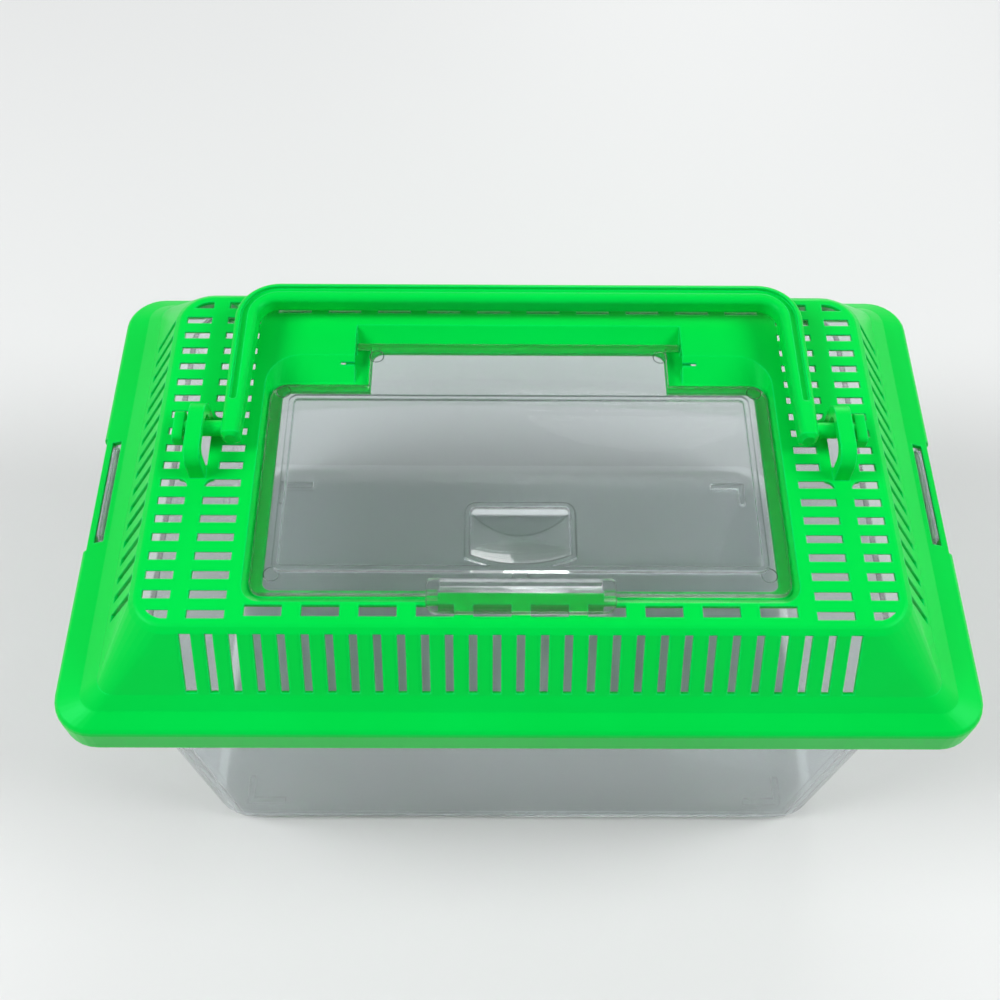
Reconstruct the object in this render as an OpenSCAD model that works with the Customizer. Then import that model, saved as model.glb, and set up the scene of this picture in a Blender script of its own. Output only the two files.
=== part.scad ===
// Plastic pet keeper: a clear tub with a vented lid that clips on, a clear
// trapdoor in the lid and a folding carry handle.
// Millimetres, +Z up, +Y towards the back. The origin is the middle of the
// footprint, at the level of the feet.

/* [Tub] */
// Height of the lid's top face above the table
overall_h = 115; // [95:1:140]
// Length of the tub at its rim, outside
tub_l = 202; // [185:1:212]
// Width of the tub at its rim, outside
tub_w = 141; // [130:1:141.5]
// Wall thickness of the tub
tub_wall = 1.8; // [1.4:0.1:2.4]
// Slope of the tub's walls, sideways per millimetre of height
tub_draft = 0.044; // [0.01:0.002:0.06]
// Radius of the tub's upright corners at the rim
tub_corner_r = 14; // [10:0.5:20]
// Radius of the tub's bottom edge
tub_edge_r = 4; // [2.5:0.5:7]
// Height of the feet under the tub
foot_h = 1.2; // [0.8:0.1:3]
// Width of the L-shaped feet's legs
foot_w = 2; // [1.5:0.1:4]
// Length of a foot's leg along the tub
foot_leg_x = 12; // [8:0.5:20]
// Length of a foot's leg across the tub
foot_leg_y = 9; // [6:0.5:16]
// Distance from a foot's corner to the tub's side, at the bottom
foot_inset_x = 11.3; // [9:0.1:20]
// Distance from a foot's corner to the tub's front, at the bottom
foot_inset_y = 6.6; // [6:0.1:14]
// Thickness of the tub's rim flange
rim_t = 1.6; // [1.2:0.1:2.2]
// Gap between the tub's rim flange and the lid's skirt
rim_gap = 0.5; // [0.3:0.1:0.6]
// Corner radius of the rim flange
rim_corner_r = 8; // [5:0.5:12]

/* [Lid] */
// Length of the lid over its skirt
lid_l = 243.4; // [238:0.2:260]
// Width of the lid over its skirt
lid_w = 145.2; // [144.6:0.2:165]
// Wall thickness of the lid
lid_wall = 1.2; // [1:0.1:1.6]
// Corner radius of the skirt
lid_corner_r = 11; // [8:0.5:18]
// Height of the skirt, from its lower edge to the flange's top
skirt_h = 10; // [7:0.5:16]
// Rounding of the flange's outer edge
flange_edge_r = 2.2; // [0.5:0.1:3]
// Width of the flange at the short sides, from the skirt to the slope
flange_x = 11.2; // [10.4:0.1:15]
// Width of the flange at the long sides, from the skirt to the slope
flange_y = 6.6; // [5:0.1:11]
// How far the flange falls from the slope to its edge
flange_drop = 3.2; // [1:0.1:4.5]
// Height of the cove between the slope and the flange
cove = 2.6; // [1:0.1:3.2]
// Share of the flange's width that the cove covers
cove_out = 0.4; // [0.1:0.05:0.6]
// Height of the sloped walls, from their foot to the top face
slope_h = 20; // [18:0.5:30]
// How far the sloped walls lean in over their height
slope_run = 12; // [8:0.5:13]
// Corner radius at the foot of the slope
slope_corner_r = 4; // [3:0.5:12]
// Corner radius of the top face
top_corner_r = 9.5; // [7:0.5:14]
// Rounding of the top face's edge
top_edge_r = 1.4; // [0.6:0.1:1.6]

/* [Vents] */
// Number of slots in each long slope
front_vents = 29; // [15:2:31]
// Spacing of the slots in the long slopes
front_pitch = 6; // [5:0.1:6.4]
// Width of the slots in the long slopes
front_vent_w = 2.1; // [1.4:0.1:3]
// Height of the slots in the long slopes
front_vent_h = 15.4; // [8:0.1:15.6]
// Height of the slots in the short slopes
end_vent_h = 13; // [6:0.1:14]
// How far below the top face the slots of the slopes start
slope_vent_top = 1.4; // [1:0.1:3]
// Number of slot rows on each short side of the top
side_rows = 19; // [11:2:19]
// Spacing of the slot rows
side_pitch = 5.55; // [4.6:0.05:5.6]
// Width of the slots in the top face
side_vent_w = 2.3; // [1.4:0.1:2.6]
// How much wider those slots are underneath, on each side
vent_flare = 0.5; // [0:0.05:0.8]
// Depth of the straight part of those slots
vent_land = 0.3; // [0.2:0.05:0.8]
// Width of the slots in the short slopes
end_vent_w = 2.2; // [1.4:0.1:2.8]
// Inner edge of the inner slots, from the lid's middle
inner_vent_x = 74.3; // [73.5:0.1:76]
// Length of the inner slots
inner_vent_l = 9.6; // [6:0.1:10]
// Rib between the inner and the outer slots
vent_rib = 4.6; // [2.6:0.1:5]
// Width of the plain island that carries a loop
island_w = 10.6; // [9:0.1:12]
// Margin left between the top's slots and its edge
vent_margin = 2.8; // [2:0.1:4]
// Length of the long slots in front of the door and behind it
bar_vent_l = 9.56; // [6:0.1:11]
// Spacing of those long slots
bar_pitch = 14.4; // [12:0.1:15]
// Width of those long slots
bar_vent_w = 3.1; // [2:0.1:3.4]
// Number of those long slots on each side of the middle
bar_vents = 5; // [2:1:5]
// Distance of those long slots from the top face's edge
bar_margin = 3.6; // [3:0.1:4]
// How much wider the last slot of the long slopes is
last_vent_extra = 0.9; // [0:0.1:1.5]

/* [Door] */
// Width of the door
door_w = 139.2; // [110:0.2:139.6]
// Front edge of the door, from the lid's middle
door_front = 43; // [38:0.5:43.5]
// Back edge of the door's wide part, from the lid's middle
door_back = 23; // [18:0.5:24]
// Radius of the door's front corners
door_front_r = 3.4; // [2:0.2:6]
// Radius of the back corners of the door's wide part
door_back_r = 5; // [2:0.5:8]
// Thickness of the door's plate
door_t = 1.8; // [1.4:0.1:2]
// Depth of the recess that the door lies in
recess_d = 4; // [3.6:0.1:5]
// How far the recess widens towards the top, at each side
recess_side = 1; // [0.4:0.1:2]
// How far it widens at the front
recess_front = 3.2; // [1:0.1:4]
// How far it widens behind the door's wide part
recess_back = 7.4; // [4:0.1:8]
// How far the hinge notch widens at the back
notch_slope = 4.4; // [2:0.1:5]
// Width of the ledge that carries the door
ledge_w = 3.6; // [2.5:0.1:5]
// Gap between the door and the ledge under it
door_gap = 0.15; // [0.1:0.05:0.4]
// Gap between the door and the recess at each side
door_side_gap = 0.4; // [0.3:0.05:0.6]
// Gap in front of the door
door_front_gap = 0.35; // [0.3:0.05:0.6]
// Gap behind the door's wide part
door_back_gap = 2; // [1:0.1:3]
// Width of the ledge under the door's front edge
front_ledge_w = 1.8; // [1:0.1:3]
// Height of the panel raised on the door
panel_h = 0.7; // [0.4:0.1:1]
// Height of the bead round that panel
bead_h = 1.5; // [1.2:0.1:1.8]
// Width of that bead
bead_w = 1.5; // [1:0.1:2.5]
// Margin from the door's edge to the bead, at the sides
panel_margin = 5.6; // [4:0.1:12]
// Margin from the door's edge to the bead, at the front
panel_front = 6; // [4:0.1:10]
// Margin from the door's edge to the bead, at the back
panel_back = 4.5; // [3:0.1:10]
// Corner radius of the bead
bead_r = 2.4; // [1.8:0.1:5]
// Distance of the hinge pins behind the lid's middle
hinge_y = 37; // [35.5:0.1:38]
// Radius of the hinge pins
hinge_r = 1; // [0.8:0.05:1.1]
// Running clearance round the hinge pins, on the radius
hinge_clear = 0.08; // [0.04:0.01:0.1]
// Gap behind the hinge pins
hinge_back_gap = 0.7; // [0.4:0.1:1]
// Length of a pin beside the neck, up to the notch's wall
hinge_side = 4.2; // [3:0.1:5]
// How deep the pins reach into their sockets
pin_reach = 3.4; // [2:0.1:3.8]
// Width of the notch that the hinge lies in
notch_w = 93; // [70:0.5:96]
// Strip of the lid's floor beside the door's neck
neck_strip = 2.7; // [2:0.1:4]
// Width of the tongue at the door's front
tongue_w = 48; // [30:0.5:60]
// How far the tongue reaches past the door's front edge
tongue_l = 7; // [5:0.5:8]
// How much narrower the landing under the tongue is, at each side
landing_in = 3; // [2:0.1:5]
// Thickness of the landing's wall
landing_t = 2.9; // [1.5:0.1:3.2]
// Gap between the landing and the door
landing_gap = 0.7; // [0.4:0.1:1]
// Width of the finger scoop
scoop_w = 29; // [18:0.5:40]
// Length of the finger scoop
scoop_l = 19.9; // [14:0.1:22]
// Depth of the finger scoop, in its middle
scoop_d = 5.4; // [4:0.1:6.5]
// Radius of the scoop's trough, across the door
scoop_r = 25.4; // [22:0.2:60]
// Slope of the scoop's front wall, in degrees
scoop_front_a = 25; // [20:1:50]
// Slope of the scoop's back wall, in degrees
scoop_back_a = 37; // [25:1:70]
// Wall of the finger scoop
scoop_wall = 1.4; // [1:0.1:2]
// How far the scoop's front edge bows out
scoop_bulge = 3.2; // [2:0.2:5]
// Distance of the scoop's front edge from the door's front
scoop_margin = 6.6; // [6:0.1:9]
// Corner radius of the scoop
scoop_corner_r = 3; // [2:0.1:5]

/* [Handle] */
// Width of the handle over its arms
handle_w = 160; // [159.4:0.1:161]
// Distance of the handle's far edge from the lid's middle, folded back
handle_back = 51.3; // [48:0.1:52.5]
// Width of the handle's bar and of its arms at the corners
arm_w = 6.5; // [5.5:0.1:6.6]
// How much narrower the arms get towards their ends
arm_taper = 1.5; // [0:0.1:2]
// Rounding of the handle's edges
handle_edge_r = 1.6; // [0.5:0.1:2.2]
// Thickness of the handle
handle_t = 6; // [4.5:0.1:6.4]
// Gap between the top face and the folded handle
handle_lift = 3; // [2.6:0.1:4]
// Outer corner radius of the handle
handle_r = 12; // [8.5:0.5:20]
// Width of the groove along the handle
groove_w = 1.9; // [1:0.1:2.4]
// Depth of that groove
groove_d = 1; // [0.4:0.1:1.6]
// Distance of that groove from the handle's outer face
groove_in = 1.8; // [1:0.1:2.2]
// Where the groove starts, behind the lid's middle
groove_y = 11; // [8:0.5:20]
// Position of the pivot behind the lid's middle
pivot_y = 2.3; // [0:0.1:2.5]
// Radius of the pegs
peg_r = 2.2; // [1.8:0.1:2.6]
// Clearance between the pegs and the loops
peg_gap = 0.25; // [0.15:0.05:0.5]
// Height of the T-heads, along the arms
head_l = 9; // [7:0.1:9.4]
// Width of the T-heads, across the arms
head_w = 4.6; // [4:0.1:6]
// Corner radius of the T-heads
head_r = 1.2; // [0.5:0.1:1.8]
// Thickness of the T-heads
head_t = 2.8; // [2:0.1:3.2]
// Gap between the T-heads and the loops
head_gap = 1.4; // [0.8:0.1:1.6]
// Width of the loops' strap
loop_w = 4.2; // [3:0.1:5]
// Length of the loops over their feet
loop_l = 19.4; // [18.5:0.1:21]
// Thickness of the loops' strap at its top
loop_t = 2.15; // [1.6:0.05:3]
// Length of the loops' window
loop_window = 13; // [12:0.1:14]
// Gap between the handle's arms and the loops
loop_gap = 3.9; // [3.6:0.1:4.5]
// Outer radius of the loops
loop_r = 5; // [4:0.1:6]
// Radius of the window's upper corners
window_r = 3; // [2:0.1:4]

/* [Latch] */
// Length of the latch slots in the lid's short sides
latch_l = 33.6; // [20:0.2:50]
// Width of the latch slots
latch_w = 2.8; // [2.6:0.1:3.2]
// Distance of the latch slots from the skirt's outer face
latch_inset = 3.3; // [2.8:0.1:4]
// Depth of the thumb recess in the skirt
thumb_d = 1.3; // [0.6:0.1:1.4]
// Length of the thumb recess
thumb_l = 37.6; // [24:0.2:54]
// Gap round the tub's latch lips
latch_gap = 0.5; // [0.4:0.1:0.6]
// Height of the latch lips above the tub's rim
lip_h = 2.2; // [0.8:0.1:3]
// Gap at the ends of the latch lips
lip_end_gap = 2; // [0.4:0.1:4]

/* [Hidden] */
eps = 0.01;
fit = 0.1;                       // seat clearance between lid and tub
seat = 2;                        // width of the seat on the tub's rim
top_z = overall_h;
foot_z = top_z - slope_h;
flange_z = foot_z - flange_drop;
skirt_z = flange_z - skirt_h;
slope_k = slope_run / slope_h;
slope_a = atan(slope_k);
// horizontal thickness of the sloped wall
slope_wall = lid_wall * sqrt(1 + slope_k * slope_k);
top_x = lid_l / 2 - flange_x - slope_run;
top_y = lid_w / 2 - flange_y - slope_run;
foot_x = top_x + slope_run;
foot_y = top_y + slope_run;
rim_z = flange_z - lid_wall - fit;
// door
seat_z = top_z - recess_d;
door_z = seat_z + door_gap;
door_top = door_z + door_t;
hinge_z = door_z + hinge_r;
pan_x = door_w / 2 + door_side_gap;
pan_front = door_front + door_front_gap;
pan_back = door_back + door_back_gap;
notch_grow = 5;                  // how much the recess's back corners widen
open_x = pan_x - ledge_w;
open_front = pan_front - front_ledge_w;
open_back = pan_back - ledge_w;
notch_back = hinge_y + hinge_r + hinge_back_gap;
scoop_front = door_front - scoop_margin;
scoop_back = scoop_front - scoop_l;
rim_top = door_top + bead_h;
land_x = tongue_w / 2 - landing_in;
neck_w = notch_w - 2 * hinge_side;
neck_open = notch_w / 2 - neck_strip;
// handle
arm_z = top_z + handle_lift;
pivot_z = arm_z + handle_t / 2;
arm_end = pivot_y - handle_t * 0.6;
window_top = pivot_z + peg_r + peg_gap;
loop_in = handle_w / 2 + loop_gap;
loop_out = loop_in + loop_w;
loop_x = loop_in + loop_w / 2;   // middle of a loop's strap
// latch
latch_out = lid_l / 2 - latch_inset;
latch_in = latch_out - latch_w;

function frac_pos(n, pitch) = [for (i = [0 : n - 1]) (i - (n - 1) / 2) * pitch];

// Rounded rectangle with straight sides and true arcs.
module rrect(hx, hy, r, n = 48) {
    square([2 * (hx - r), 2 * hy], center = true);
    square([2 * hx, 2 * (hy - r)], center = true);
    for (sx = [-1, 1], sy = [-1, 1])
        translate([sx * (hx - r), sy * (hy - r)]) circle(r = r, $fn = n);
}

// Four thin discs at the corners of a rounded rectangle, to be hulled.
module corners(hx, hy, r, z, t = eps) {
    for (sx = [-1, 1], sy = [-1, 1])
        translate([sx * (hx - r), sy * (hy - r), z]) cylinder(r = r, h = t, $fn = 32);
}

// Rectangle from y0 to y1 whose front and back corners have their own radii.
module plate2d(hx, y0, y1, rf, rb) {
    translate([-hx, y0 + rf]) square([2 * hx, y1 - y0 - rf - rb]);
    translate([-hx + rf, y0]) square([2 * (hx - rf), rf + 1]);
    translate([-hx + rb, y1 - rb - 1]) square([2 * (hx - rb), rb + 1]);
    for (sx = [-1, 1]) {
        translate([sx * (hx - rf), y0 + rf]) circle(r = rf, $fn = 48);
        translate([sx * (hx - rb), y1 - rb]) circle(r = rb, $fn = 48);
    }
}

module mirror_x() { children(); mirror([1, 0, 0]) children(); }
module mirror_y() { children(); mirror([0, 1, 0]) children(); }

// ---------------------------------------------------------------- tub

// Tub form between two heights, moved in by `inset` all round.
module tub_form(inset, z0, z1) {
    hx = tub_l / 2 - inset;
    hy = tub_w / 2 - inset;
    r = tub_corner_r - inset;
    er = tub_edge_r - inset;
    lean = tub_draft * (rim_z - z0);
    hull() {
        corners(hx - tub_draft * (rim_z - z1), hy - tub_draft * (rim_z - z1), r, z1 - eps);
        for (a = [0, 22.5, 45, 67.5, 90])
            corners(hx - lean - er * (1 - sin(a)), hy - lean - er * (1 - sin(a)),
                    r - er * (1 - sin(a)), z0 + er * (1 - cos(a)));
    }
}

module foot() {
    bx = tub_l / 2 - tub_draft * (rim_z - foot_h);
    by = tub_w / 2 - tub_draft * (rim_z - foot_h);
    translate([bx - foot_inset_x, by - foot_inset_y, 0]) {
        translate([-foot_leg_x, -foot_w, 0]) cube([foot_leg_x, foot_w, foot_h + 0.6]);
        translate([-foot_w, -foot_leg_y, 0]) cube([foot_w, foot_leg_y, foot_h + 0.6]);
    }
}

module tank() {
    rim_x = latch_out - latch_gap;
    rim_y = lid_w / 2 - lid_wall - rim_gap;
    color([0.86, 0.92, 0.94, 0.35]) {
        difference() {
            union() {
                tub_form(0, foot_h, rim_z);
                // rim flange that the lid sits on
                translate([0, 0, rim_z - rim_t]) linear_extrude(rim_t)
                    rrect(rim_x, rim_y, rim_corner_r);
                // latch lips that stand up into the lid's slots
                mirror_x() translate([latch_in + latch_gap, -latch_l / 2 + lip_end_gap, rim_z - rim_t])
                    cube([latch_w - 2 * latch_gap, latch_l - 2 * lip_end_gap, rim_t + lip_h]);
            }
            tub_form(tub_wall, foot_h + tub_wall, rim_z + 1);
        }
        mirror_x() mirror_y() foot();
    }
}

// ---------------------------------------------------------------- lid

module lid_outside() {
    // sloped walls up to the rounded edge of the top face
    hull() {
        corners(foot_x, foot_y, slope_corner_r, foot_z - eps);
        for (a = [0, 30, 60, 90]) {
            d = top_edge_r * (1 - sin(a)) - (a == 90 ? slope_k * top_edge_r : 0);
            corners(top_x - d, top_y - d, top_corner_r - d, top_z - top_edge_r * (1 - cos(a)) - eps);
        }
    }
    // flange that falls to its rounded edge, and the skirt
    hull() {
        corners(foot_x, foot_y, slope_corner_r, foot_z - eps);
        for (a = [0, 30, 60, 90]) {
            d = flange_edge_r * (1 - sin(a));
            corners(lid_l / 2 - d, lid_w / 2 - d, lid_corner_r - d,
                    flange_z - flange_edge_r * (1 - cos(a)) - eps);
        }
        corners(lid_l / 2, lid_w / 2, lid_corner_r, skirt_z);
    }
    // cove between them, up the slope and out along the flange
    up = slope_k * cove;
    out_x = cove_out * (flange_x - flange_edge_r);
    out_y = cove_out * (flange_y - flange_edge_r);
    hull() {
        corners(foot_x - up, foot_y - up,
                slope_corner_r + (top_corner_r - slope_corner_r) * cove / slope_h, foot_z + cove - eps);
        corners(foot_x + out_x, foot_y + out_y,
                slope_corner_r + cove_out * (lid_corner_r - flange_edge_r - slope_corner_r),
                foot_z - cove_out * flange_drop - eps);
    }
}

module lid_inside() {
    z1 = top_z - lid_wall;
    z0 = foot_z - lid_wall;
    g = slope_wall - slope_k * lid_wall;
    hull() {
        corners(top_x - g, top_y - g, top_corner_r - g, z1 - eps);
        corners(foot_x - g, foot_y - g, slope_corner_r - g, z0 - eps);
    }
    // under the falling flange, down to the seat on the tub's rim
    hull() {
        corners(foot_x - g, foot_y - g, slope_corner_r - g, z0 - eps);
        corners(lid_l / 2 - lid_wall - seat, lid_w / 2 - lid_wall - seat,
                lid_corner_r - lid_wall - seat, flange_z - lid_wall - eps);
    }
    translate([0, 0, skirt_z - 1]) linear_extrude(skirt_h + 1 - lid_wall)
        rrect(lid_l / 2 - lid_wall, lid_w / 2 - lid_wall, lid_corner_r - lid_wall);
}

// Discs for the sloped recess: `g` grows it sideways.
module pan_ring(hx, front, back, rf, rb, z) {
    for (sx = [-1, 1]) {
        translate([sx * (hx - rf), -front + rf, z]) cylinder(r = rf, h = eps, $fn = 32);
        translate([sx * (hx - rb), back - rb, z]) cylinder(r = rb, h = eps, $fn = 32);
    }
}

// The door's recess, or with g > 0 the pan that carries it.
module recess(g, z0, z1) {
    hull() {
        pan_ring(pan_x + g, pan_front + g, pan_back + g, door_front_r + g, door_back_r + g, z0);
        pan_ring(pan_x + recess_side + g, pan_front + recess_front + g, pan_back + recess_back + g,
                 door_front_r + recess_front / 2 + g, door_back_r + notch_grow + g, z1);
    }
    // the hinge notch behind it, with a sloped back wall
    gx = g > 0 ? 3 : 0;
    translate([-notch_w / 2 - gx, 0, 0]) rotate([90, 0, 90]) linear_extrude(notch_w + 2 * gx)
        polygon([[0, z0], [notch_back + g, z0], [notch_back + notch_slope + g, z1], [0, z1]]);
}

module door_opening() {
    z0 = seat_z - lid_wall - 1;
    translate([0, 0, z0]) linear_extrude(lid_wall + 2) {
        plate2d(open_x, -open_front, open_back, 2.5, 2.5);
        plate2d(neck_open - 2, 0, notch_back - 3.4, 2, 3);
    }
    // under the landing the opening runs on to the front wall
    translate([-land_x, -pan_front, z0]) cube([2 * land_x, front_ledge_w + 4.2, lid_wall + 2]);
}

// Landing at the top face's level, under the door's tongue.
module landing() {
    translate([-land_x, -pan_front - landing_gap - landing_t, seat_z - lid_wall])
        cube([2 * land_x, landing_t, recess_d + lid_wall]);
}

module loop2d() {
    h = window_top + loop_t - top_z;
    difference() {
        union() {
            translate([-loop_l / 2, -lid_wall / 2]) square([loop_l, h - loop_r + lid_wall / 2]);
            translate([-loop_l / 2 + loop_r, 0]) square([loop_l - 2 * loop_r, h]);
            for (s = [-1, 1]) translate([s * (loop_l / 2 - loop_r), h - loop_r]) circle(r = loop_r, $fn = 48);
        }
        w = loop_window / 2;
        wt = window_top - top_z;
        translate([-w, -lid_wall]) square([2 * w, wt - window_r + lid_wall]);
        translate([-w + window_r, -lid_wall]) square([2 * (w - window_r), wt + lid_wall]);
        for (s = [-1, 1]) translate([s * (w - window_r), wt - window_r]) circle(r = window_r, $fn = 48);
    }
}

// Loop that holds a peg of the handle.
module peg_loop() {
    translate([loop_in, 0, top_z]) rotate([90, 0, 90]) linear_extrude(loop_w) loop2d();
}

// Slot along x through the top face, wider underneath.
module vent_slot(x0, x1) {
    w = side_vent_w / 2;
    translate([x0, 0, top_z]) rotate([90, 0, 90]) linear_extrude(x1 - x0)
        polygon([[w, 1], [w, -vent_land], [w + vent_flare, -lid_wall - 0.1],
                 [-w - vent_flare, -lid_wall - 0.1], [-w, -vent_land], [-w, 1]]);
}

// Slots of the top face on one side, with the island of the loop left plain.
module top_slots() {
    half = (side_rows - 1) / 2;
    edge = 2 * side_pitch - side_vent_w / 2;
    intersection() {
        for (k = [-half : half]) {
            near = abs(k) <= 1;
            translate([0, k * side_pitch, 0]) {
                vent_slot(inner_vent_x, near ? loop_x - island_w / 2 : inner_vent_x + inner_vent_l);
                vent_slot(near ? loop_x + island_w / 2 : inner_vent_x + inner_vent_l + vent_rib, top_x);
            }
        }
        translate([0, 0, top_z - lid_wall - 0.6]) linear_extrude(lid_wall + 1.2) difference() {
            rrect(top_x - vent_margin, top_y - vent_margin, top_corner_r - vent_margin);
            for (s = [-1, 1]) island_corner(s, edge);
        }
    }
}

// Rounded corners of the island, in the first slots in front of it and behind it.
module island_corner(s, edge) {
    mid = inner_vent_x + inner_vent_l + vent_rib / 2;
    for (t = [-1, 1]) translate([mid + t * vent_rib / 2, s * edge]) mirror([t < 0 ? 1 : 0, 0])
        mirror([0, s < 0 ? 1 : 0]) difference() {
            translate([-0.1, -vent_flare - 0.1]) square([side_vent_w + 0.1, side_vent_w + vent_flare + 0.1]);
            translate([side_vent_w, side_vent_w]) circle(r = side_vent_w, $fn = 48);
        }
}

// Slot through a sloped wall, square to it, that starts below the top face.
module slope_slot(w, h) {
    l = h / cos(slope_a);
    translate([0, -slope_k * (slope_vent_top + h / 2), -slope_vent_top - h / 2]) rotate([-slope_a, 0, 0])
        translate([-w / 2, -4, -l / 2]) cube([w, 4.6 + lid_wall, l]);
}

module vents() {
    mirror_x() top_slots();
    // long slots in front of the door and behind it
    mirror_x() mirror_y() for (i = [0 : bar_vents - 1])
        translate([bar_pitch / 2 - bar_vent_l / 2 + i * bar_pitch, -top_y + bar_margin, top_z - lid_wall - 1])
            cube([bar_vent_l, bar_vent_w, lid_wall + 2]);
    // slots of the long slopes, the last one on each side wider
    last_x = (front_vents - 1) / 2 * front_pitch;
    mirror_y() for (x = frac_pos(front_vents, front_pitch))
        translate([x, -top_y, top_z])
            slope_slot(front_vent_w + (abs(x) > last_x - 1 ? last_vent_extra : 0), front_vent_h);
    // slots of the short slopes, in line with the top's rows
    mirror_x() for (y = frac_pos(side_rows - 2, side_pitch))
        translate([top_x, y, top_z]) rotate([0, 0, 90]) slope_slot(end_vent_w, end_vent_h);
}

module lid() {
    color([0, 0.84, 0.29]) difference() {
        union() {
            difference() {
                lid_outside();
                lid_inside();
            }
            recess(lid_wall, seat_z - lid_wall, top_z - lid_wall / 2);
            mirror_x() peg_loop();
            landing();
            // wall behind the thumb recess
            mirror_x() translate([lid_l / 2 - thumb_d - lid_wall, -thumb_l / 2 - lid_wall, skirt_z])
                cube([thumb_d + lid_wall - 0.5, thumb_l + 2 * lid_wall, skirt_h - 1]);
        }
        difference() {
            recess(0, seat_z, top_z + 0.2);
            landing();
        }
        door_opening();
        vents();
        // core hole under each loop
        mirror_x() translate([loop_in, -loop_window / 2 + 1, top_z - lid_wall - 1])
            cube([loop_w, loop_window - 2, lid_wall + 2]);
        // hinge sockets, with the moulding windows beside them
        mirror_x() {
            translate([notch_w / 2 - 1, hinge_y, hinge_z]) rotate([0, 90, 0])
                cylinder(r = hinge_r + hinge_clear, h = 5, $fn = 48);
            translate([notch_w / 2 - 1, pan_back + 4.6, seat_z])
                cube([5, hinge_y - pan_back - 6.6, recess_d - lid_wall]);
        }
        // latch slots and thumb recesses
        mirror_x() {
            translate([latch_in, -latch_l / 2, flange_z - lid_wall - 1])
                cube([latch_w, latch_l, lid_wall + flange_drop + 2]);
            translate([lid_l / 2 - thumb_d, -thumb_l / 2, skirt_z - 1])
                cube([thumb_d + 1, thumb_l, skirt_h + 2]);
        }
    }
}

// ---------------------------------------------------------------- door

module scoop2d(g) {
    r = (scoop_w * scoop_w / 4 + scoop_bulge * scoop_bulge) / (2 * scoop_bulge);
    intersection() {
        plate2d(scoop_w / 2 - g, -scoop_front - 5 + g, -scoop_back - g,
                scoop_corner_r - g, scoop_corner_r - g);
        translate([0, r - scoop_front]) circle(r = r - g, $fn = 96);
    }
}

// Finger scoop, moved in by g: a trough across the door, with a sloped back
// wall and a hollow front wall that both run up to the rim.
module scoop(g, top) {
    w = scoop_wall - g;
    z0 = rim_top - scoop_d;
    sag = scoop_bulge * sin(scoop_front_a);
    fr = (scoop_w * scoop_w / 4 + sag * sag) / (2 * sag);
    intersection() {
        translate([0, 0, z0 - 4]) linear_extrude(rim_top + top - z0 + 4) scoop2d(g);
        translate([0, -scoop_back + 2, z0 + scoop_r]) rotate([90, 0, 0])
            cylinder(r = scoop_r + w, h = scoop_l + 6, $fn = 96);
        translate([0, -scoop_front, rim_top]) rotate([90 - scoop_front_a, 0, 0])
            translate([0, fr, -2 * scoop_l]) cylinder(r = fr + w, h = 3 * scoop_l, $fn = 96);
        translate([0, -scoop_back, rim_top]) rotate([scoop_back_a, 0, 0])
            translate([-scoop_w, -2 * scoop_l, -w]) cube([2 * scoop_w, 3 * scoop_l, 3 * scoop_l]);
    }
}

// Outline of the raised panel, moved in by g.
module panel2d(px, g) {
    r = g > 0 ? bead_r / 2 : bead_r;
    plate2d(px - g, -door_front + panel_front + g, door_back - panel_back - g, r, r);
}

module door() {
    px = door_w / 2 - panel_margin;
    land = land_x - 0.5;
    color([0.9, 0.95, 0.97, 0.35]) difference() {
        union() {
            difference() {
                translate([0, 0, door_z]) linear_extrude(door_t)
                    plate2d(door_w / 2, -door_front, door_back, door_front_r, door_back_r);
                // room for the landing
                translate([-land - landing_gap, -door_front - 1, door_z - 1])
                    cube([2 * (land + landing_gap), 1 + landing_gap, door_t + 2]);
            }
            translate([-neck_w / 2, 0, door_z]) cube([neck_w, hinge_y, door_t]);
            // hinge barrel, with the pins at its ends
            translate([-neck_w / 2, hinge_y, hinge_z]) rotate([0, 90, 0])
                cylinder(r = hinge_r, h = neck_w, $fn = 48);
            mirror_x() translate([neck_w / 2 - 1, hinge_y, hinge_z]) rotate([0, 90, 0])
                cylinder(r = hinge_r, h = hinge_side + pin_reach, $fn = 48);
            // raised panel and its bead
            translate([0, 0, door_top - eps]) linear_extrude(panel_h)
                panel2d(px, 0);
            translate([0, 0, door_top - eps]) linear_extrude(bead_h) difference() {
                panel2d(px, 0);
                panel2d(px, bead_w);
            }
            // riser and tongue over the landing
            translate([-land, -door_front + landing_gap, door_z])
                cube([2 * land, door_t, top_z + door_gap - door_z + door_t]);
            translate([0, 0, top_z + door_gap]) linear_extrude(door_t)
                plate2d(tongue_w / 2, -door_front - tongue_l, -door_front + landing_gap + door_t, 3, 1.5);
            scoop(0, 0);
        }
        scoop(scoop_wall, 1);
    }
}

// ---------------------------------------------------------------- handle

// Section of the handle.
module bar2d() { rrect(arm_w / 2, handle_t / 2, handle_edge_r); }

// Slice of an arm at y, moved in by g all round, with its outer face d inside the widest place.
module arm_slice(y, w, d, g) {
    translate([handle_w / 2 - d - w / 2, y, pivot_z]) rotate([90, 0, 0]) linear_extrude(eps)
        rrect(w / 2 - g, handle_t / 2 - g, handle_edge_r, 32);
}

// Plan of the groove along the bar and the arms.
module groove2d() {
    hw = handle_w / 2;
    g0 = groove_in;
    g1 = groove_in + groove_w;
    intersection() {
        difference() {
            plate2d(hw - g0, 0, handle_back - g0, 1, handle_r - g0);
            plate2d(hw - g1, -1, handle_back - g1, 1, handle_r - g1);
        }
        translate([-hw, groove_y]) square([2 * hw, handle_back]);
    }
    for (s = [-1, 1]) translate([s * (hw - (g0 + g1) / 2), groove_y]) circle(r = groove_w / 2, $fn = 24);
}

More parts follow.
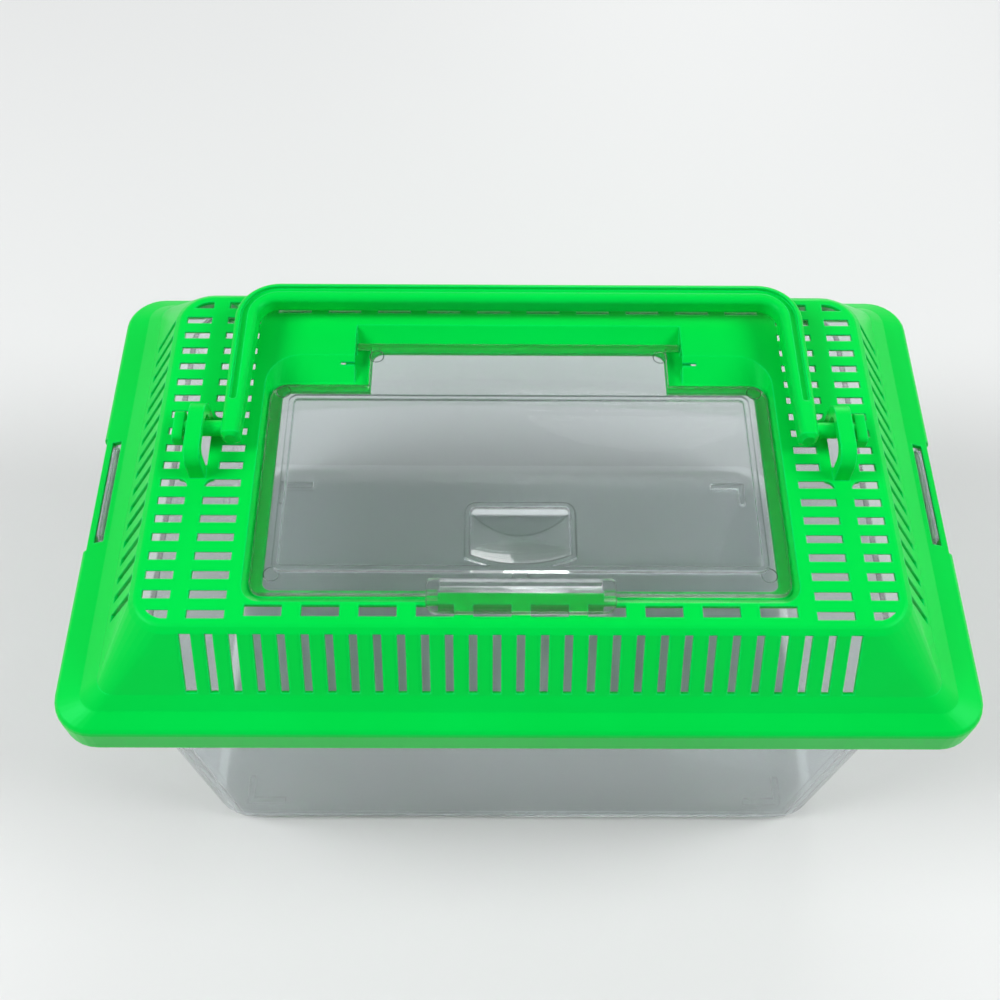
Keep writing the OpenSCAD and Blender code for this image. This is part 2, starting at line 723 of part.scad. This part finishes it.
module handle() {
    hw = handle_w / 2;
    turn_y = handle_back - handle_r;
    color([0, 0.84, 0.29]) {
        difference() {
            union() {
                mirror_x() {
                    // arm that narrows towards its rounded end
                    hull() {
                        arm_slice(arm_end + eps, arm_w - arm_taper, arm_taper / 3, 0.9);
                        arm_slice(arm_end + 0.9, arm_w - arm_taper, arm_taper / 3, 0);
                        arm_slice(turn_y, arm_w, 0, 0);
                    }
                    translate([hw - handle_r, turn_y, pivot_z]) rotate_extrude(angle = 90, $fn = 96)
                        translate([handle_r - arm_w / 2, 0]) bar2d();
                }
                translate([-hw + handle_r, handle_back - arm_w / 2, pivot_z]) rotate([90, 0, 90])
                    linear_extrude(2 * (hw - handle_r)) bar2d();
            }
            translate([0, 0, arm_z + handle_t - groove_d]) linear_extrude(2) groove2d();
        }
        // pegs through the loops, with T-heads outside them
        mirror_x() {
            translate([hw - 3, pivot_y, pivot_z]) rotate([0, 90, 0])
                cylinder(r = peg_r, h = loop_out + head_gap - hw + 4, $fn = 48);
            translate([loop_out + head_gap, pivot_y, pivot_z]) rotate([90, 0, 90]) linear_extrude(head_t)
                rrect(head_l / 2, head_w / 2, head_r);
        }
    }
}

tank();
lid();
door();
handle();
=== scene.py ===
import math

import bpy
from mathutils import Matrix, Vector


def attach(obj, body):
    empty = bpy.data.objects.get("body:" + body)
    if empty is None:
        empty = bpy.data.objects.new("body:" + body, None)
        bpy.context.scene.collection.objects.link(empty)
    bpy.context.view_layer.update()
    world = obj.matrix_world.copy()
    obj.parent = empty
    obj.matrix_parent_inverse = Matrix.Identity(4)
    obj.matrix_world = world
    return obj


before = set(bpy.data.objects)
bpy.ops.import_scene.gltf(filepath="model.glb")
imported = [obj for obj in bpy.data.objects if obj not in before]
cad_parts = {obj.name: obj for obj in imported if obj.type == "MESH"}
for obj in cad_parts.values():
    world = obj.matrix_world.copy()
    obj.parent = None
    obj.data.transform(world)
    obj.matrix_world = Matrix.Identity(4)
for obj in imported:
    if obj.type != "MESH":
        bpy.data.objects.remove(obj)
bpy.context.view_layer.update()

mm = 0.001
print("frame loaded:", sorted(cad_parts))


# camera
cameraSetup = {
    "position": (-7.07 * mm, -190.65 * mm, 399.67 * mm),
    "tilt": 58.5,       # degrees below the horizon
    "turn": -0.58,
    "roll": 0.70,
    "lens": 45.5,
    "sensor": 36,
    "nearest": 10 * mm,
}


def aimCamera(setup):
    tilt, turn, roll = (math.radians(setup[k]) for k in ("tilt", "turn", "roll"))
    right = Vector((math.cos(turn), math.sin(turn), 0))
    ahead = Vector((
        -math.sin(turn) * math.cos(tilt),
        math.cos(turn) * math.cos(tilt),
        -math.sin(tilt)))
    down = ahead.cross(right)
    camRight = math.cos(roll) * right - math.sin(roll) * down
    camUp = -(math.sin(roll) * right + math.cos(roll) * down)
    bpy.ops.object.camera_add(location=setup["position"])
    cam = bpy.context.object
    cam.name = "photoCamera"
    cam.data.lens = setup["lens"]
    cam.data.sensor_width = setup["sensor"]
    cam.data.clip_start = setup["nearest"]
    turned = Matrix((camRight, camUp, -ahead)).transposed().to_4x4()
    cam.matrix_world = Matrix.Translation(setup["position"]) @ turned
    bpy.context.scene.camera = cam


aimCamera(cameraSetup)
print("camera placed")


# shader helpers
class Wire:  # a shader value that can be used in sums
    def __init__(self, graph, socket):
        self.graph, self.socket = graph, socket

    def maths(self, operation, first, second):
        return self.graph.node("ShaderNodeMath", {"operation": operation}, {0: first, 1: second})

    def __add__(self, other):
        return self.maths("ADD", self, other)

    def __radd__(self, other):
        return self.maths("ADD", other, self)

    def __sub__(self, other):
        return self.maths("SUBTRACT", self, other)

    def __rsub__(self, other):
        return self.maths("SUBTRACT", other, self)

    def __mul__(self, other):
        return self.maths("MULTIPLY", self, other)

    def __rmul__(self, other):
        return self.maths("MULTIPLY", other, self)

    def larger(self, other):
        return self.maths("MAXIMUM", self, other)


class Graph:  # the nodes of a material or of the world
    def __init__(self, tree):
        self.tree = tree

    def plug(self, socket, value):
        if isinstance(value, Wire):
            self.tree.links.new(value.socket, socket)
        else:
            socket.default_value = value

    def node(self, kind, settings=None, inputs=None, output=0):
        made = self.tree.nodes.new(kind)
        for key, value in (settings or {}).items():
            if key == "stops":
                while len(made.color_ramp.elements) < len(value):
                    made.color_ramp.elements.new(0.5)
                for element, (place, colour) in zip(made.color_ramp.elements, value):
                    element.position, element.color = place, colour
            else:
                setattr(made, key, value)
        for key, value in (inputs or {}).items():
            self.plug(made.inputs[key], value)
        return Wire(self, made.outputs[output])

    def place(self):
        return self.node("ShaderNodeTexCoord", output="Object")

    def noise(self, scale, detail=2.0, rough=0.5, stretch=(1, 1, 1)):
        spot = self.node("ShaderNodeMapping", {}, {"Vector": self.place(), "Scale": stretch})
        return self.node("ShaderNodeTexNoise", {}, {
            "Vector": spot, "Scale": scale, "Detail": detail, "Roughness": rough})

    def ramp(self, value, stops):
        greys = [(place, (level, level, level, 1)) for place, level in stops]
        return self.node("ShaderNodeValToRGB", {"stops": greys}, {"Fac": value})

    def mix(self, share, first, second):
        first, second = (c if isinstance(c, Wire) else (*c, 1) for c in (first, second))
        return self.node("ShaderNodeMix", {"data_type": "RGBA"}, {0: share, 6: first, 7: second}, 2)

    def bump(self, height, strength, depth, normal):
        return self.node("ShaderNodeBump", {}, {
            "Height": height, "Strength": strength, "Distance": depth, "Normal": normal})

    def edges(self, radius, stops):  # a rounded normal, and a mask of the piece's edges
        soft = self.node("ShaderNodeBevel", {"samples": 4}, {"Radius": radius})
        flat = self.node("ShaderNodeNewGeometry", output="Normal")
        along = self.node(
            "ShaderNodeVectorMath", {"operation": "DOT_PRODUCT"}, {0: soft, 1: flat}, "Value")
        return soft, self.ramp(along, stops)

    def seen(self):  # 1 for what the camera sees, also in gloss and through clear plastic
        camera, gloss, through = (self.node("ShaderNodeLightPath", output=ray) for ray in (
            "Is Camera Ray", "Is Glossy Ray", "Is Transmission Ray"))
        return camera.larger(gloss).larger(through)


class Paint(Graph):  # one material
    def __init__(self, name):
        self.material = bpy.data.materials.new(name)
        self.material.use_nodes = True
        super().__init__(self.material.node_tree)
        self.shader = self.tree.nodes["Principled BSDF"]

    def set(self, **values):
        for key, value in values.items():
            self.plug(self.shader.inputs[key.replace("_", " ")], value)


# moulded green plastic of the lid and handle
greenLook = {
    "colour": (0.0, 0.67, 0.064),
    "deep": (0.0, 0.60, 0.046),
    # painted highlight: a lighter mint green along the rounded edges
    "edge": (0.01, 0.90, 0.26),
    "shine": (0.12, 1.0, 0.55),   # tint of its highlights
    "gloss": 0.22,
    "roughness": 0.34,
    "edgeRadius": 0.7 * mm,
    "edgeStops": [(0.80, 1), (0.985, 0)],
    "edgeShare": 0.55,
    "cloudShare": 0.5,
    "flowShare": 0.12,            # streaks left by the plastic's flow
    "grainDepth": 0.12 * mm,
    "glow": 0.08,
    "glowDepth": 1.4 * mm,
    "glowColour": (0.1, 1.0, 0.4),
}


def makeGreen(look):
    paint = Paint("greenPlastic")
    clouds = paint.ramp(paint.noise(14, 3), [(0.35, 0), (0.65, 1)])
    flow = paint.ramp(paint.noise(60, 2, 0.6, (0.4, 1, 1)), [(0.42, 0), (0.6, 1)])
    mottle = clouds * look["cloudShare"] + flow * look["flowShare"]
    base = paint.mix(mottle, look["colour"], look["deep"])
    soft, edge = paint.edges(look["edgeRadius"], look["edgeStops"])
    grain = paint.noise(1500, 2, 0.6)
    ripple = paint.noise(90, 2)
    paint.set(
        # the base colour gets a painted highlight along the edges
        Base_Color=paint.mix(edge * look["edgeShare"], base, look["edge"]),
        Roughness=look["roughness"] + (clouds - 0.5) * 0.05 + (grain - 0.5) * 0.10,
        Normal=paint.bump(grain * 0.35 + ripple, 0.18, look["grainDepth"], soft),
        IOR=1.46,
        Specular_Tint=(*look["shine"], 1),
        Specular_IOR_Level=look["gloss"],
        Subsurface_Weight=look["glow"],
        Subsurface_Scale=look["glowDepth"],
        Subsurface_Radius=look["glowColour"],
    )
    return paint.material


# clear plastic of the tub and door
clearLook = {
    "edge": (0.10, 0.17, 0.20),   # painted shade: a dark line at a rim or bead, standing in for how light bends through its deep wall
    "edgeRadius": 0.8 * mm,
    "edgeStops": [(0.86, 1), (0.99, 0)],
    "edgeShare": 0.75,
    # painted shade: darker where a wall is seen at a steep angle
    "steepStops": [(0.62, 0), (0.97, 1)],
    "steepShare": 0.8,
    "waveDepth": 0.4 * mm,
}
tubLook = {**clearLook, "colour": (0.87, 0.92, 0.945), "roughness": 0.012, "alpha": 0.80}
doorLook = {**clearLook, "colour": (0.965, 0.985, 0.99), "roughness": 0.008, "alpha": 0.9}


def makeClear(name, look):
    paint = Paint(name)
    haze = paint.ramp(paint.noise(22, 3), [(0.35, 0), (0.7, 1)])
    smear = paint.ramp(paint.noise(120, 2, 0.7, (0.25, 1, 1)), [(0.5, 0), (0.8, 1)])
    wave = paint.noise(30, 1)
    scuff = paint.noise(900, 2, 0.6, (1, 0.08, 1))
    facing = paint.node("ShaderNodeLayerWeight", {}, {"Blend": 0.5}, "Facing")
    steep = paint.ramp(facing, look["steepStops"])
    soft, rim = paint.edges(look["edgeRadius"], look["edgeStops"])
    # painted shade mask: rims, beads and steep views turn towards the dark edge colour
    deep = (steep * look["steepShare"]).larger(rim * look["edgeShare"])
    paint.set(
        # the base colour gets painted shade at rims, beads and steep views
        Base_Color=paint.mix(deep, look["colour"], look["edge"]),
        Roughness=look["roughness"] + haze * 0.01 + smear * 0.03,
        Normal=paint.bump(wave + scuff * 0.03, 0.08, look["waveDepth"], soft),
        # rims are also made opaque, so their painted dark line shows fully
        Alpha=look["alpha"] + rim * (1 - look["alpha"]),
        IOR=1.5,
        Transmission_Weight=1.0,
    )
    return paint.material


green = makeGreen(greenLook)
tubClear = makeClear("clearTubPlastic", tubLook)
doorClear = makeClear("clearDoorPlastic", doorLook)


def dress(piece, material):
    piece.data.materials.clear()
    piece.data.materials.append(material)


for nodeName, material in (("tank", tubClear), ("lid", green), ("door", doorClear), ("handle", green)):
    dress(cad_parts[nodeName], material)
print("materials made")


# ejector marks on the door
ejectorMarks = {
    "spots": [(-64, -37.5), (64, -37.5), (0, -38.3), (-40.5, 33), (40.5, 33), (-66, 20.5), (66, 20.5)],
    "radius": 2 * mm,
    "wire": 0.14 * mm,
    "level": 112.95 * mm,   # the door's top face
    "flatten": 0.6,
}


def clearSelection():
    if bpy.context.object and bpy.context.object.mode != "OBJECT":
        bpy.ops.object.mode_set(mode="OBJECT")
    bpy.ops.object.select_all(action="DESELECT")


def makeEjectorMarks(marks):
    rings = []
    for x, y in marks["spots"]:
        clearSelection()
        bpy.ops.mesh.primitive_torus_add(
            location=(x * mm, y * mm, marks["level"]), major_radius=marks["radius"],
            minor_radius=marks["wire"], major_segments=40, minor_segments=8)
        rings.append(bpy.context.object)
        bpy.ops.object.mode_set(mode="EDIT")
        bpy.ops.mesh.select_all(action="SELECT")
        bpy.ops.transform.resize(value=(1, 1, marks["flatten"]))
        bpy.ops.object.mode_set(mode="OBJECT")
    clearSelection()
    for ring in rings:
        ring.select_set(True)
    bpy.context.view_layer.objects.active = rings[0]
    bpy.ops.object.join()
    joined = bpy.context.object
    joined.name = "doorEjectorMarks"
    bpy.ops.object.transform_apply(location=True, rotation=True, scale=True)
    bpy.ops.object.shade_smooth()
    dress(joined, doorClear)
    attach(joined, "flap")


makeEjectorMarks(ejectorMarks)
print("ejector marks made")


# floor, light and world
studio = {
    "floor": (0.72, 0.73, 0.73),
    "floorSize": 8,
    "floorLevel": -0.2 * mm,
    "floorFade": (0.45, 1.3),   # metres out, where the floor turns into the backdrop
    "key": {"place": (-0.85, -0.15, 0.9), "size": 0.6, "power": 10},
    "fill": {"place": (0.85, -0.1, 0.85), "size": 0.6, "power": 8.5},
    "rim": {"place": (0.25, 1.3, 0.6), "size": 0.6, "power": 5},
    "aim": (0, 0, 0.06),
    "sky": 0.28,
    "backdrop": 0.84,
    "fade": (0.22, 0.5),        # from the backdrop to the sky, by height
}


def makeFloor(setup):
    clearSelection()
    bpy.ops.mesh.primitive_plane_add(size=setup["floorSize"], location=(0, 0, setup["floorLevel"]))
    floor = bpy.context.object
    floor.name = "floor"
    paint = Paint("paleFloor")
    dust = paint.noise(6, 3)
    colour, dusty = setup["floor"], tuple(0.97 * c for c in setup["floor"])
    paint.set(Base_Color=paint.mix(dust * 0.2, colour, dusty), Roughness=0.55)
    reach = paint.node("ShaderNodeVectorMath", {"operation": "LENGTH"}, {0: paint.place()}, "Value")
    perMetre = 2 / setup["floorSize"]   # a ramp runs from 0 to 1, here out to the floor's edge
    near, far = (perMetre * place for place in setup["floorFade"])
    away = paint.ramp(reach * perMetre, [(near, 0), (far, 1)])
    level = setup["backdrop"]
    glow = paint.node("ShaderNodeEmission", {}, {"Color": (level, level, level, 1)})
    faded = paint.node("ShaderNodeMixShader", {}, {
        0: away * paint.seen(), 1: Wire(paint, paint.shader.outputs[0]), 2: glow})
    paint.plug(paint.tree.nodes["Material Output"].inputs["Surface"], faded)
    dress(floor, paint.material)


def makeLamp(name, setup, aim):
    place = Vector(setup["place"])
    bpy.ops.object.light_add(type="AREA", location=place)
    lamp = bpy.context.object
    lamp.name = name
    lamp.data.shape = "DISK"
    lamp.data.size = setup["size"]
    lamp.data.energy = setup["power"]
    lamp.rotation_euler = (Vector(aim) - place).to_track_quat("-Z", "Y").to_euler()


def makeWorld(setup):
    world = bpy.data.worlds.new("studio")
    bpy.context.scene.world = world
    world.use_nodes = True
    graph = Graph(world.node_tree)
    light = graph.tree.nodes["Background"]
    graph.plug(light.inputs["Color"], (1, 1, 1, 1))
    graph.plug(light.inputs["Strength"], setup["sky"])
    spot = graph.node("ShaderNodeTexCoord", output="Generated")
    height = graph.node("ShaderNodeSeparateXYZ", {}, {0: spot}, "Z")
    low, high = setup["fade"]   # pale behind the floor, as dim as the light above
    fade = graph.ramp(height, [(low, setup["backdrop"]), (high, setup["sky"])])
    backdrop = graph.node("ShaderNodeBackground", {}, {"Color": fade})
    mixed = graph.node("ShaderNodeMixShader", {}, {
        0: graph.seen(), 1: Wire(graph, light.outputs[0]), 2: backdrop})
    graph.plug(graph.tree.nodes["World Output"].inputs["Surface"], mixed)


makeFloor(studio)
for lampName in ("key", "fill", "rim"):
    makeLamp(lampName, studio[lampName], studio["aim"])
makeWorld(studio)
bpy.context.scene.view_settings.view_transform = "Standard"
print("studio made")
